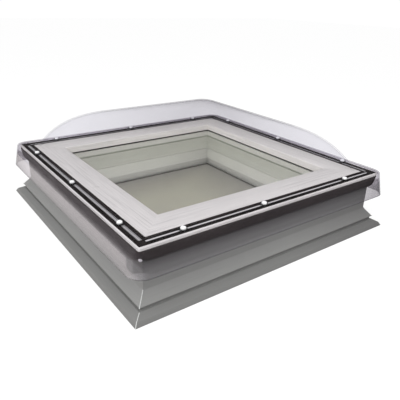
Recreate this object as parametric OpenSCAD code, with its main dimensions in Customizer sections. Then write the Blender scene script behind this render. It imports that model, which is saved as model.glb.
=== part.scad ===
// Roof skylight: a square curb of hollow profiles, a hinged sash with a
// double-glazed unit, and a clear outer dome screwed down over a ribbed gasket.
// Millimetres, +Z up. The origin is the centre of the base, on the roof plane.
// Front is -Y, the hinge side is +Y.

/* [Overall] */
// Width of the square base over its outer flange
base_w = 860; // [800:10:1100]
// Height of the curb's outer wall
wall_h = 140; // [140:1:141]
// Height of the dome above its flange
dome_h = 135; // [100:1:160]

/* [Dome] */
// Thickness of the clear dome sheet
dome_t = 3; // [2.5:0.5:3.5]
// Radius of the dome sheet's outer corners
dome_corner_r = 38; // [24:1:40]
// Distance from the sheet's outer edge in to the foot of the dome
dome_foot_in = 62; // [58:1:70]
// How far the skirt hangs below the flange
skirt_drop = 68; // [50:1:70]
// Roundness of the dome's side: higher is flatter on top
dome_power = 4; // [3:0.5:6]

/* [Fasteners] */
// Distance of the outer screws in each row from the middle, as a share of half the base
screw_spread = 0.66; // [0.6:0.01:0.72]
// Shaft diameter of a dome screw
screw_d = 4.9; // [4:0.1:5]
// Outer diameter of a domed screw cap
cap_d = 13.5; // [11:0.5:14]
// Outer diameter of a sealing washer
washer_d = 20; // [19.5:0.5:22]

/* [Glazing] */
// Thickness of each pane
pane_t = 4; // [3:0.5:4]
// Gap between the panes
pane_gap = 16; // [14:1:16]

/* [Hinges and stays] */
// Distance of each hinge from the middle
hinge_x = 240; // [180:10:260]
// Length of a stay arm between its two pins
stay_len = 140; // [130:5:145]
// Slope of the stay track below level, in degrees
stay_slope = 9; // [8:1:10]

/* [Lock] */
// Length of the handle lever from its spindle
lever_len = 88; // [70:1:90]

/* [Hidden] */
$fn = 48;
B = base_w / 2;              // half of the base
W = B - 44.5;                // outer face of the curb wall
WI = B - 84.5;               // inner face of the curb wall
SO = B - 31.3;               // outer edge of the sash top
SI = B - 139.6;              // inner edge of the sash top
LI = B - 121;                // rebate wall of the sash leg
LO = B - 105;                // outer face of the sash leg
sash_top = 170.8;
sash_under = 150;
leg_bottom = 72.3;
pane_top = 148.4;
PH = B - 126;                // half of a pane
gasket_top = 171;
G0 = B - 63.3;               // the gasket's channel in the sash: inner and outer edge
G1 = B - 31.6;
T0 = B - 54;                 // groove between the gasket's two ribs
T1 = B - 43;
flange_z = gasket_top + dome_t;
screw_r = B - 44;            // distance of a screw row from the middle
sk = screw_spread * B;
side_row = [-sk, 0, sk];     // along each side
front_row = [-sk, -0.105 * B, sk - 0.045 * B];
left_row = [-sk + 0.028 * B, 0.032 * B, sk + 0.011 * B];
HY = B - 38.5;               // hinge axis
HZ = 137;
in1 = HY - stay_len * cos(stay_slope);      // stay pivot
in1z = HZ - stay_len * sin(stay_slope);
spindle_z = 98;

// ---------------------------------------------------------------- helpers

// A straight run of a section (x outward, y up), on the +X side, mitred at both ends
module mitred() {
    intersection() {
        rotate([90, 0, 0]) linear_extrude(height = 2 * B + 2, center = true) children();
        translate([0, 0, -20]) linear_extrude(height = 260)
            polygon([[0, 0], [B + 30, B + 30], [B + 30, -B - 30]]);
    }
}

module on_front() { rotate([0, 0, -90]) children(); }
module on_back() { rotate([0, 0, 90]) children(); }
module on_left() { rotate([0, 0, 180]) children(); }
module on_all() { for (a = [0, 90, 180, 270]) rotate([0, 0, a]) children(); }

// A square of half-width h with corners of radius r
module rsq(h, r) {
    square([2 * h, 2 * (h - r)], center = true);
    square([2 * (h - r), 2 * h], center = true);
    for (x = [-1, 1], y = [-1, 1]) translate([x * (h - r), y * (h - r)]) circle(r = r);
}

// A flat square ring
module ring(h0, h1, z0, z1) {
    translate([0, 0, z0]) linear_extrude(height = z1 - z0) difference() {
        square(2 * h1, center = true);
        square(2 * h0, center = true);
    }
}

// The places of the screws that hold the dome
module at_screws() {
    for (a = [0, 90, 180, 270]) rotate([0, 0, a])
        for (s = a == 270 ? front_row : a == 180 ? left_row : side_row) translate([screw_r, s, 0]) children();
}

// ---------------------------------------------------------------- curb

module curb_section() {
    difference() {
        polygon([[B, 0], [B - 6.6, 10.8], [B - 22.7, 19.3],
            [B - 27.5, 19.3], [B - 27.5, 27.6], [B - 22.2, 28.5],
            [W, 54.8], [W, wall_h], [WI, wall_h], [WI, 66],
            [B - 124, 66], [B - 124, 71.4], [B - 134.4, 71.4], [B - 121, 0]]);
        // hollow chambers
        polygon([[B - 27, 4], [B - 9, 4], [B - 10.5, 8.4], [B - 27, 16.2]]);
        polygon([[B - 63, 4], [B - 31, 4], [B - 31, 31.5], [B - 48, 51.5], [B - 48, 54.5], [B - 63, 54.5]]);
        translate([B - 63, 58]) square([15, wall_h - 61.5]);
        translate([B - 81, 69.5]) square([14.5, wall_h - 73]);
        translate([B - 96.5, 4]) square([30, 58]);
        polygon([[B - 117.7, 4], [B - 100, 4], [B - 100, 62], [B - 128.6, 62]]);
    }
}

// Holes for the screws that fix the curb to the roof
module curb_fixing() {
    for (s = [-200, 200]) translate([B - 81.5, s, -1]) cylinder(r = 2.75, h = 6);
}

module curb_side() {
    difference() {
        mitred() curb_section();
        curb_fixing();
    }
}

module curb_front() {
    color([0.56, 0.57, 0.55]) difference() {
        on_front() curb_side();
        for (x = [-38, -10]) translate([x, -WI + 1, 115]) rotate([90, 0, 0])
            cylinder(r = 1.75, h = 6);
    }
}
module curb_back() {
    color([0.56, 0.57, 0.55]) difference() {
        on_back() curb_side();
        at_fixed_screws() cylinder(r = 2.05, h = 16, center = true);
    }
}
module curb_left() { color([0.56, 0.57, 0.55]) difference() { on_left() curb_side(); mirror([1, 0, 0]) post_hole(); } }
module curb_right() { color([0.56, 0.57, 0.55]) difference() { curb_side(); post_hole(); } }

module post_hole() {
    translate([WI - 1, in1, in1z]) rotate([0, 90, 0]) cylinder(r = 3.05, h = 8);
}

// Upper weather seal, a bulb on a flat foot
module curb_top_seal() {
    color([0.12, 0.12, 0.12]) on_all() mitred() {
        translate([B - 76, wall_h]) square([16, 2]);
        translate([B - 70, wall_h + 1]) square([4, 3]);
        difference() {
            translate([B - 68, wall_h + 5.7]) circle(r = 4);
            translate([B - 68, wall_h + 5.7]) circle(r = 2.2);
        }
    }
}

// Lower seal, in the step of the curb's shelf
module curb_inner_seal() {
    color([0.12, 0.12, 0.12]) on_all() mitred() {
        translate([B - 120, 66]) square([14, 2]);
        polygon([[B - 117, 67], [B - 113, 67], [B - 109.5, 71.9], [B - 112, 71.9]]);
    }
}

// ---------------------------------------------------------------- sash

module sash_section() {
    difference() {
        polygon([[SI, sash_under], [SI, sash_top], [G0, sash_top], [G0, 166], [G1, 166], [G1, sash_top],
            [SO + 0.3, sash_top], [SO + 2.3, 167.6], [SO + 2.5, 161.6],
            [B - 40, 161.6], [B - 40, sash_under], [LO, sash_under],
            [LO, leg_bottom], [LI, leg_bottom], [LI, sash_under]]);
        translate([SI + 3, sash_under + 3]) square([13, 14.8]);
        translate([LI + 3, sash_under + 3]) square([33, 14.8]);
        translate([B - 82, sash_under + 3]) square([33, 9.8]);
        translate([LI + 3, leg_bottom + 3]) square([10, 34]);
        translate([LI + 3, leg_bottom + 40]) square([10, 34.7]);
    }
}

module sash_side(row = side_row) {
    difference() {
        intersection() {
            mitred() sash_section();
            translate([0, 0, 60]) linear_extrude(height = 120) rsq(SO + 2.5, 4);
        }
        for (s = row) translate([screw_r, s, 154]) cylinder(r = screw_d / 2 + 0.05, h = 20);
    }
}

module sash_front() {
    color([0.84, 0.83, 0.81]) difference() {
        on_front() sash_side(front_row);
        translate([0, -LI + 5, spindle_z]) rotate([90, 0, 0]) cylinder(r = 6.05, h = 30);
    }
}
module sash_back() {
    color([0.84, 0.83, 0.81]) difference() {
        on_back() sash_side();
        at_moving_screws() translate([0, 0, -1]) cylinder(r = 2.05, h = 16);
    }
}
module sash_left() { color([0.84, 0.83, 0.81]) on_left() sash_side(left_row); }
module sash_right() { color([0.84, 0.83, 0.81]) sash_side(); }

// Moulded lip that hangs outside the curb wall
module lip_profile(x0, x1) {
    polygon([[x0, 131], [x1 - 6, 131], [x1 - 3.3, 131.6], [x1 - 1.3, 133], [x1 - 0.3, 135],
        [x1, 138], [x1, 161.4], [x0, 161.4]]);
}
module weather_lip() {
    r = 30;
    h = B - 27;
    color([0.2, 0.19, 0.19]) difference() {
        union() {
            on_all() rotate([90, 0, 0]) linear_extrude(height = 2 * (h - r), center = true)
                lip_profile(h - 40, h);
            for (x = [-1, 1], y = [-1, 1]) translate([x * (h - r), y * (h - r), 0])
                rotate_extrude($fn = 64) lip_profile(0, r);
        }
        translate([0, 0, 120]) linear_extrude(height = 60) square(2 * (B - 39.8), center = true);
        for (s = [-1, 1]) translate([s * hinge_x - 36, HY - 20, 120]) cube([72, 60, 31]);
        for (a = [45, 135, 225, 315]) rotate([0, 0, a]) translate([0, 0, 138])
            rotate([0, 90, 0]) cylinder(r = 2.05, h = 1.6 * B);
    }
}

lip_d = sqrt(2) * (B - 27) - 30 * (sqrt(2) - 1);   // the lip's corner, measured on the diagonal

module lip_rivets() {
    color([0.93, 0.93, 0.93]) for (a = [45, 135, 225, 315]) rotate([0, 0, a])
        translate([lip_d, 0, 138]) rotate([0, 90, 0]) {
            translate([0, 0, -7.6]) cylinder(r = 2, h = 8);
            rotate_extrude() polygon([[0, 0.05], [4.6, 0.05], [4.6, 0.8], [4, 1.9], [2.6, 2.8], [0, 3.2]]);
        }
}

// Two-ribbed gasket under the dome's flange, let into the sash, with solid corner joints
module gasket_section() {
    translate([G0, 166]) square([G1 - G0, 2]);
    polygon([[G0, 166], [T0, 166], [T0, gasket_top - 0.8], [T0 - 1.2, gasket_top],
        [G0 + 1, gasket_top], [G0, gasket_top - 0.6]]);
    polygon([[T1, 166], [G1, 166], [G1, gasket_top - 0.6], [G1 - 1, gasket_top],
        [T1 + 1.2, gasket_top], [T1, gasket_top - 0.8]]);
}
tape_end = B - 55;           // the tape stops at the corner joints
module dome_gasket() {
    color([0.17, 0.16, 0.16]) difference() {
        union() {
            on_all() mitred() gasket_section();
            for (x = [-1, 1], y = [-1, 1])
                translate([x * (B - 43.3) - 11.7, y * (B - 43.3) - 11.7, 166]) cube([23.4, 23.4, gasket_top - 166]);
        }
        at_screws() translate([0, 0, 160]) cylinder(r = 2.8, h = 20);
    }
}
// Pale foam tape in the groove of the gasket
module gasket_tape() {
    color([0.75, 0.75, 0.74]) difference() {
        on_all() translate([T0, -tape_end, 168]) cube([T1 - T0, 2 * tape_end, 1.7]);
        at_screws() translate([0, 0, 160]) cylinder(r = 2.8, h = 20);
    }
}

// ---------------------------------------------------------------- dome

// Points of a rounded square of half-width h and corner radius r, at height z
arc_n = 8;
function rpts(h, r, z) = [for (q = [0:3], k = [0:arc_n])
    let (a = 90 * q + 90 * k / arc_n,
         cx = (q == 0 || q == 3 ? 1 : -1) * (h - r), cy = (q < 2 ? 1 : -1) * (h - r))
    [cx + r * cos(a), cy + r * sin(a), z]];
rn = 4 * (arc_n + 1);

foot = B - dome_foot_in;
function dome_z(t) = dome_h * pow(1 - pow(t, dome_power), 0.83);
dome_ts = [0.08, 0.2, 0.32, 0.44, 0.55, 0.65, 0.73, 0.8, 0.86, 0.91, 0.95, 0.975, 0.992];

// Stations down the outside, then back up the inside: half-width, corner radius, height
flange_out = B - 14;         // the sheet's bend, where the flange turns down
skirt_out = B - 3.5;         // the skirt's lower edge
outer_st = concat(
    [for (t = dome_ts) [foot * t, 0.16 * foot * t + 0.5, flange_z + dome_z(t)]],
    [[foot + 1, 0.16 * foot, flange_z + 0.9], [foot + 4, 0.15 * foot, flange_z],
     [flange_out - 3.6, dome_corner_r - 3.6, flange_z], [flange_out - 1.1, dome_corner_r - 1.2, flange_z - 0.9],
     [flange_out, dome_corner_r, flange_z - 3.4], [skirt_out, dome_corner_r + 3, flange_z - skirt_drop]]);
inner_st = concat(
    [[skirt_out - dome_t, dome_corner_r, flange_z - skirt_drop],
     [flange_out - dome_t, dome_corner_r - 3, gasket_top - 2.2], [flange_out - 4.6, dome_corner_r - 5, gasket_top],
     [foot + 2, 0.15 * foot, gasket_top], [foot - 1.6, 0.16 * foot - 1, gasket_top + 0.9]],
    [for (i = [len(dome_ts) - 1:-1:0]) let (t = dome_ts[i])
        [(foot - 2.4) * t, 0.16 * (foot - 2.4) * t + 0.5, gasket_top + dome_z(t)]]);
all_st = concat(outer_st, inner_st);
sn = len(all_st);

module dome_solid() {
    pts = concat([for (s = all_st) each rpts(s[0], s[1], s[2])],
        [[0, 0, flange_z + dome_h], [0, 0, gasket_top + dome_h]]);
    faces = concat(
        [for (i = [0:sn - 2], j = [0:rn - 1]) let (j2 = (j + 1) % rn)
            each [[i * rn + j, i * rn + j2, (i + 1) * rn + j2], [i * rn + j, (i + 1) * rn + j2, (i + 1) * rn + j]]],
        [for (j = [0:rn - 1]) [sn * rn, (j + 1) % rn, j]],
        [for (j = [0:rn - 1]) [sn * rn + 1, (sn - 1) * rn + j, (sn - 1) * rn + (j + 1) % rn]]);
    polyhedron(points = pts, faces = faces, convexity = 6);
}

module dome_shell() {
    color([0.8, 0.8, 0.86, 0.3]) difference() {
        dome_solid();
        at_screws() translate([0, 0, gasket_top - 2]) cylinder(r = 3, h = dome_t + 4);
    }
}

module dome_screws() {
    color([0.75, 0.76, 0.78]) at_screws() {
        translate([0, 0, 156]) cylinder(r = screw_d / 2, h = flange_z + 1.8 - 156);
        translate([0, 0, flange_z + 1.7]) cylinder(r = 4, h = 2.3);
    }
}
// Rubber washers, with a dished steel washer on each
module seal_washers() {
    color([0.1, 0.1, 0.1]) at_screws() translate([0, 0, flange_z]) difference() {
        rotate_extrude() polygon([[0, 0], [washer_d / 2, 0], [washer_d / 2, 0.7], [washer_d / 2 - 0.5, 1], [0, 1]]);
        translate([0, 0, -1]) cylinder(r = screw_d / 2 + 0.05, h = 4);
    }
}
module steel_washers() {
    c = washer_d / 2 - 2.6;
    color([0.7, 0.71, 0.73]) at_screws() translate([0, 0, flange_z + 1]) difference() {
        rotate_extrude() polygon([[0, 0], [c, 0], [c, 0.25], [c - 1.2, 0.7], [0, 0.7]]);
        translate([0, 0, -1]) cylinder(r = screw_d / 2 + 0.05, h = 4);
    }
}
module screw_caps() {
    c = cap_d / 2;
    color([0.95, 0.95, 0.95]) at_screws() translate([0, 0, flange_z + 1.7]) difference() {
        rotate_extrude() polygon([[0, 0], [c, 0], [c, 1.6], [0.96 * c, 2.6], [0.85 * c, 3.6],
            [0.66 * c, 4.35], [0.36 * c, 4.85], [0, 5]]);
        translate([0, 0, -1]) cylinder(r = 4.1, h = 3.6);
    }
}

// ---------------------------------------------------------------- glazing

module pane(z) {
    translate([-PH, -PH, z]) cube([2 * PH, 2 * PH, pane_t]);
}
module outer_pane() { color([0.75, 0.78, 0.72, 0.35]) pane(pane_top - pane_t); }
module inner_pane() { color([0.75, 0.78, 0.72, 0.35]) pane(pane_top - 2 * pane_t - pane_gap); }
module pane_spacer() { color([0.78, 0.79, 0.79]) ring(PH - 12.5, PH - 6, pane_top - pane_t - pane_gap, pane_top - pane_t); }
module pane_edge_seal() { color([0.15, 0.15, 0.15]) ring(PH - 6, PH, pane_top - pane_t - pane_gap, pane_top - pane_t); }

module glazing_gasket_outer() {
    color([0.12, 0.12, 0.12]) ring(SI + 0.2, PH - 1, pane_top, sash_under);
}
unit_bottom = pane_top - 2 * pane_t - pane_gap;
module glazing_gasket_inner() {
    color([0.12, 0.12, 0.12]) ring(B - 140, PH - 1, unit_bottom - 1.6, unit_bottom);
}

// Snap-in bead that holds the unit from below
module bead_side() {
    mitred() difference() {
        polygon([[B - 141, unit_bottom - 1.6], [B - 134.6, leg_bottom + 0.2], [LI, leg_bottom + 0.2], [LI, unit_bottom - 1.6]]);
        polygon([[B - 135.9, unit_bottom - 5], [B - 131.3, leg_bottom + 3.4], [LI - 3, leg_bottom + 3.4], [LI - 3, unit_bottom - 5]]);
    }
}
module bead_front() {
    color([0.82, 0.82, 0.79]) difference() {
        on_front() bead_side();
        translate([0, -LI + 30, spindle_z]) rotate([90, 0, 0]) cylinder(r = 6.05, h = 40);
    }
}
module bead_back() { color([0.82, 0.82, 0.79]) on_back() bead_side(); }
module bead_left() { color([0.82, 0.82, 0.79]) on_left() bead_side(); }
module bead_right() { color([0.82, 0.82, 0.79]) bead_side(); }

module setting_blocks() {
    color([0.2, 0.25, 0.3]) on_all() for (s = [-180, 180])
        translate([PH, s - 40, unit_bottom]) cube([5, 80, pane_top - unit_bottom]);
}

// ---------------------------------------------------------------- hinges

module at_hinges() { for (s = [-1, 1]) translate([s * hinge_x, 0, 0]) children(); }
module knuckle(x0, x1, r) {
    translate([x0, HY, HZ]) rotate([0, 90, 0]) cylinder(r = r, h = x1 - x0);
}
module at_fixed_screws() {
    at_hinges() for (x = [-20, 20]) for (z = [106, 122])
        translate([x, W, z]) rotate([90, 0, 0]) children();
}
module at_moving_screws() {
    at_hinges() for (x = [-22, 22]) translate([x, HY - 9, sash_under]) children();
}

module hinge_leaves_fixed() {
    color([0.6, 0.61, 0.63]) difference() {
        at_hinges() {
            translate([-30, W, 98]) cube([60, 3, 32.5]);
            for (x = [-30, 10]) {
                translate([x, W, 98]) cube([20, 3, HZ - 98]);
                knuckle(x, x + 20, 5);
            }
        }
        at_hinges() knuckle(-40, 40, 2.55);
        at_fixed_screws() cylinder(r = 2.1, h = 20, center = true);
    }
}
module hinge_leaves_moving() {
    color([0.6, 0.61, 0.63]) difference() {
        at_hinges() {
            knuckle(-9.6, 9.6, 5);
            translate([-9.6, HY - 2.5, HZ + 3]) cube([19.2, 5, sash_under - HZ - 3]);
            translate([-30, HY - 16, sash_under - 3]) cube([60, 14.4, 3]);
            translate([-9.6, HY - 16, sash_under - 3]) cube([19.2, 18.5, 3]);
        }
        at_hinges() knuckle(-40, 40, 2.55);
        at_moving_screws() translate([0, 0, -6]) cylinder(r = 2.1, h = 10);
    }
}
module hinge_pins() {
    color([0.7, 0.71, 0.72]) at_hinges() {
        knuckle(-30, 30, 2.5);
        for (x = [-31.5, 30]) knuckle(x, x + 1.5, 4);
    }
}
module hinge_screws_fixed() {
    color([0.75, 0.76, 0.78]) at_fixed_screws() {
        translate([0, 0, -3]) cylinder(r = 2, h = 9.5);
        translate([0, 0, -4.8]) cylinder(r = 3.8, h = 1.8);
    }
}
module hinge_screws_moving() {
    color([0.75, 0.76, 0.78]) at_moving_screws() {
        translate([0, 0, -4]) cylinder(r = 2, h = 10);
        translate([0, 0, -4.6]) cylinder(r = 3.6, h = 1.6);
    }
}

// ---------------------------------------------------------------- stays

// A rounded bar between two points on the track line, from x0 to x1 across
module track_bar(s0, s1, w, x0, x1) {
    translate([x0, HY, HZ]) rotate([stay_slope, 0, 0]) {
        translate([0, -s1, -w]) cube([x1 - x0, s1 - s0, 2 * w]);
        for (s = [s0, s1]) translate([0, -s, 0]) rotate([0, 90, 0]) cylinder(r = w, h = x1 - x0);
    }
}
module at_track(s, x) {
    translate([x, HY, HZ]) rotate([stay_slope, 0, 0]) translate([0, -s, 0]) rotate([0, 90, 0]) children();
}
slide = 2 * stay_len * (1 - cos(24));

module stay_arm() {
    difference() {
        track_bar(stay_len, 2 * stay_len, 7, LO + 5, LO + 8.5);
        at_track(stay_len, LO) cylinder(r = 3.05, h = 20);
        at_track(2 * stay_len, LO) cylinder(r = 3.05, h = 20);
    }
}
module stay_pin() {
    at_track(2 * stay_len, LO + 0.6) cylinder(r = 3, h = 8.6);
    at_track(2 * stay_len, LO + 8.6) cylinder(r = 5, h = 2);
    at_track(2 * stay_len, LO + 4.2) cylinder(r = 4.6, h = 0.8);
}
module stay_track() {
    difference() {
        track_bar(2 * stay_len - slide - 14, 2 * stay_len + 16, 10, LO, LO + 3.6);
        track_bar(2 * stay_len - slide - 3, 2 * stay_len + 3, 3.3, LO - 1, LO + 5);
    }
}
module stay_post() {
    at_track(stay_len, LO + 9.3) cylinder(r = 6.5, h = WI - LO - 9.3);
    at_track(stay_len, LO + 3.4) cylinder(r = 3, h = WI - LO + 0.6);
    at_track(stay_len, LO + 3.4) cylinder(r = 5, h = 1.3);
}
module stay_posts() { color([0.66, 0.67, 0.69]) { stay_post(); mirror([1, 0, 0]) stay_post(); } }
module stay_arm_right() { color([0.72, 0.73, 0.75]) stay_arm(); }
module stay_arm_left() { color([0.72, 0.73, 0.75]) mirror([1, 0, 0]) stay_arm(); }
module stay_pin_right() { color([0.6, 0.61, 0.63]) stay_pin(); }
module stay_pin_left() { color([0.6, 0.61, 0.63]) mirror([1, 0, 0]) stay_pin(); }
module stay_track_right() { color([0.6, 0.61, 0.63]) stay_track(); }
module stay_track_left() { color([0.6, 0.61, 0.63]) mirror([1, 0, 0]) stay_track(); }

// ---------------------------------------------------------------- lock

bead_in = B - 141;           // the bead's innermost edge
module along_y(y0, y1, r) {
    translate([0, y0, spindle_z]) rotate([-90, 0, 0]) cylinder(r = r, h = y1 - y0);
}
module handle_base() {
    color([0.88, 0.88, 0.87]) difference() {
        union() {
            along_y(-bead_in - 6, -bead_in + 6, 15);
            along_y(-bead_in + 5, -bead_in + 9, 13);
        }
        on_front() mitred() polygon([[B - 141, unit_bottom + 5], [B - 141, unit_bottom - 1.6],
            [B - 134.6, leg_bottom + 0.2], [LI, leg_bottom + 0.2], [LI, unit_bottom + 5]]);
        along_y(-bead_in - 20, -bead_in + 20, 6.05);
    }
}
module handle_lever() {
    y0 = -bead_in + 9.3;
    color([0.88, 0.88, 0.87]) difference() {
        union() {
            along_y(y0, y0 + 9, 12);
            translate([0, y0 + 2, spindle_z - 8]) cube([lever_len - 8, 7, 16]);
            translate([lever_len - 8, y0 + 2, spindle_z]) rotate([-90, 0, 0]) cylinder(r = 8, h = 7);
        }
        along_y(y0 - 1, y0 + 6, 5.05);
    }
}
module lock_spindle() {
    color([0.6, 0.61, 0.63]) {
        along_y(-LO - 8, -bead_in + 15.3, 5);
        along_y(-LO - 1.5, -bead_in - 30, 6);
        along_y(-LO - 8, -LO - 1.5, 8);
        translate([-6, -LO - 6.5, spindle_z - 20]) cube([12, 4, 20]);
        translate([0, -LO - 6.5, spindle_z - 20]) rotate([-90, 0, 0]) cylinder(r = 6, h = 4);
    }
}
module lock_keeper() {
    color([0.66, 0.67, 0.69]) difference() {
        union() {
            translate([-42, -WI, 101]) cube([36, 3, 22]);
            translate([-34, -WI, 106]) cube([21, 15, 3]);
        }
        for (x = [-38, -10]) translate([x, -WI - 1, 115]) rotate([-90, 0, 0]) cylinder(r = 1.8, h = 6);
    }
}
module keeper_screws() {
    color([0.75, 0.76, 0.78]) for (x = [-38, -10]) {
        translate([x, -WI - 3, 115]) rotate([-90, 0, 0]) cylinder(r = 1.7, h = 7);
        translate([x, -WI + 3, 115]) rotate([-90, 0, 0]) cylinder(r = 3.2, h = 1.4);
    }
}

// ---------------------------------------------------------------- output

curb_front();
curb_back();
curb_left();
curb_right();
curb_top_seal();
curb_inner_seal();
hinge_leaves_fixed();
hinge_pins();
hinge_screws_fixed();
stay_posts();
lock_keeper();
keeper_screws();
sash_front();
sash_back();
sash_left();
sash_right();
weather_lip();
lip_rivets();
dome_gasket();
gasket_tape();
dome_shell();
dome_screws();
seal_washers();
steel_washers();
screw_caps();
outer_pane();
inner_pane();
pane_spacer();
pane_edge_seal();
glazing_gasket_outer();
glazing_gasket_inner();
bead_front();
bead_back();
bead_left();
bead_right();
setting_blocks();
hinge_leaves_moving();
hinge_screws_moving();
stay_track_left();
stay_track_right();
handle_base();
handle_lever();
lock_spindle();
stay_arm_left();
stay_pin_left();
stay_arm_right();
stay_pin_right();
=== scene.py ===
import math

import bmesh
import bpy
from mathutils import Matrix, Vector


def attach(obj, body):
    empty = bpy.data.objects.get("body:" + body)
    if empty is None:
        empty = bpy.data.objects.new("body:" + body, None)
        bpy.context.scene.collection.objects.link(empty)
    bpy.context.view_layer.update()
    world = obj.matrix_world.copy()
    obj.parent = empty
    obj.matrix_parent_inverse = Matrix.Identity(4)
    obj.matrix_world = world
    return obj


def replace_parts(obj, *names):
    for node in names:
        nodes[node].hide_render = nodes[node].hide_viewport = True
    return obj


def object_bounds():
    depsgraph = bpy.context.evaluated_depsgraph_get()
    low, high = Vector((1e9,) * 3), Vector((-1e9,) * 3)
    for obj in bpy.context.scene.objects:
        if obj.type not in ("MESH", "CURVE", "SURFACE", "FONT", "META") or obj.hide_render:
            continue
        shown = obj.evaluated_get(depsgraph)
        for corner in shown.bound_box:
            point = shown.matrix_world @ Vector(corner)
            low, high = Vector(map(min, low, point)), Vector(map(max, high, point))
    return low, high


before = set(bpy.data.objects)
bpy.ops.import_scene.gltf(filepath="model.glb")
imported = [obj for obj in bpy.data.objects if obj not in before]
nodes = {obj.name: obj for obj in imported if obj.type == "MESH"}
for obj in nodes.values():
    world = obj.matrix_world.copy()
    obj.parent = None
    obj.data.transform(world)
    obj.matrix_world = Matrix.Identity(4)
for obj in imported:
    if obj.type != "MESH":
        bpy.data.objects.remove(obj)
cad_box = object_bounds()
scene = bpy.context.scene


def plain(b):
    """A pair of corners as plain lists."""
    return [[round(float(c), 6) for c in p] for p in b]


cad_box = plain(cad_box)
MM = 0.001
B = 430.0                     # half of the base, mm

# ------------------------------------------------------------------ materials


class Mat:
    """A small helper around one node tree."""

    def __init__(self, name):
        self.m = bpy.data.materials.new(name)
        self.m.use_nodes = True
        self.t = self.m.node_tree
        self.t.nodes.clear()
        self.out = self.n("ShaderNodeOutputMaterial")
        self.coord = None

    def n(self, kind, **props):
        node = self.t.nodes.new(kind)
        for k, v in props.items():
            setattr(node, k, v)
        return node

    def link(self, a, b):
        self.t.links.new(a, b)

    def obj(self, scale=(1, 1, 1)):
        """Object coordinates (the row frame, in metres), stretched by scale."""
        if self.coord is None:
            self.coord = self.n("ShaderNodeTexCoord")
        mp = self.n("ShaderNodeMapping")
        mp.inputs["Scale"].default_value = scale
        self.link(self.coord.outputs["Object"], mp.inputs["Vector"])
        return mp.outputs["Vector"]

    def noise(self, scale, detail=3.0, rough=0.55, stretch=(1, 1, 1)):
        t = self.n("ShaderNodeTexNoise")
        t.inputs["Scale"].default_value = scale
        t.inputs["Detail"].default_value = detail
        t.inputs["Roughness"].default_value = rough
        self.link(self.obj(stretch), t.inputs["Vector"])
        return t.outputs["Fac"]

    def ramp(self, fac, stops):
        r = self.n("ShaderNodeValToRGB")
        el = r.color_ramp.elements
        while len(el) < len(stops):
            el.new(0.5)
        for e, (p, c) in zip(el, stops):
            e.position = p
            e.color = c if len(c) == 4 else (*c, 1.0)
        self.link(fac, r.inputs["Fac"])
        return r.outputs["Color"]

    def maprange(self, fac, lo, hi, a=0.0, b=1.0):
        r = self.n("ShaderNodeMapRange")
        r.inputs["From Min"].default_value = a
        r.inputs["From Max"].default_value = b
        r.inputs["To Min"].default_value = lo
        r.inputs["To Max"].default_value = hi
        self.link(fac, r.inputs["Value"])
        return r.outputs["Result"]

    def mix(self, fac, a, b, blend="MIX"):
        x = self.n("ShaderNodeMix", data_type="RGBA", blend_type=blend)
        if isinstance(fac, float):
            x.inputs[0].default_value = fac
        else:
            self.link(fac, x.inputs[0])
        for s, v in ((6, a), (7, b)):
            if isinstance(v, tuple):
                x.inputs[s].default_value = v if len(v) == 4 else (*v, 1.0)
            else:
                self.link(v, x.inputs[s])
        return x.outputs[2]

    def math(self, op, a, b=None):
        x = self.n("ShaderNodeMath", operation=op)
        for i, v in enumerate((a, b)):
            if v is None:
                continue
            if isinstance(v, (int, float)):
                x.inputs[i].default_value = float(v)
            else:
                self.link(v, x.inputs[i])
        return x.outputs[0]

    def bump(self, height, strength, distance=0.001, normal=None):
        b = self.n("ShaderNodeBump")
        b.inputs["Strength"].default_value = strength
        b.inputs["Distance"].default_value = distance
        self.link(height, b.inputs["Height"])
        if normal is not None:
            self.link(normal, b.inputs["Normal"])
        return b.outputs["Normal"]

    def principled(self, **sockets):
        p = self.n("ShaderNodeBsdfPrincipled")
        for k, v in sockets.items():
            s = p.inputs[k.replace("_", " ")]
            if isinstance(v, (int, float, tuple)):
                s.default_value = v if not isinstance(v, tuple) or len(v) == 4 else (*v, 1.0)
            else:
                self.link(v, s)
        self.link(p.outputs[0], self.out.inputs["Surface"])
        return p


def tint(c, k):
    return tuple(min(1.0, v * k) for v in c)


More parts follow.
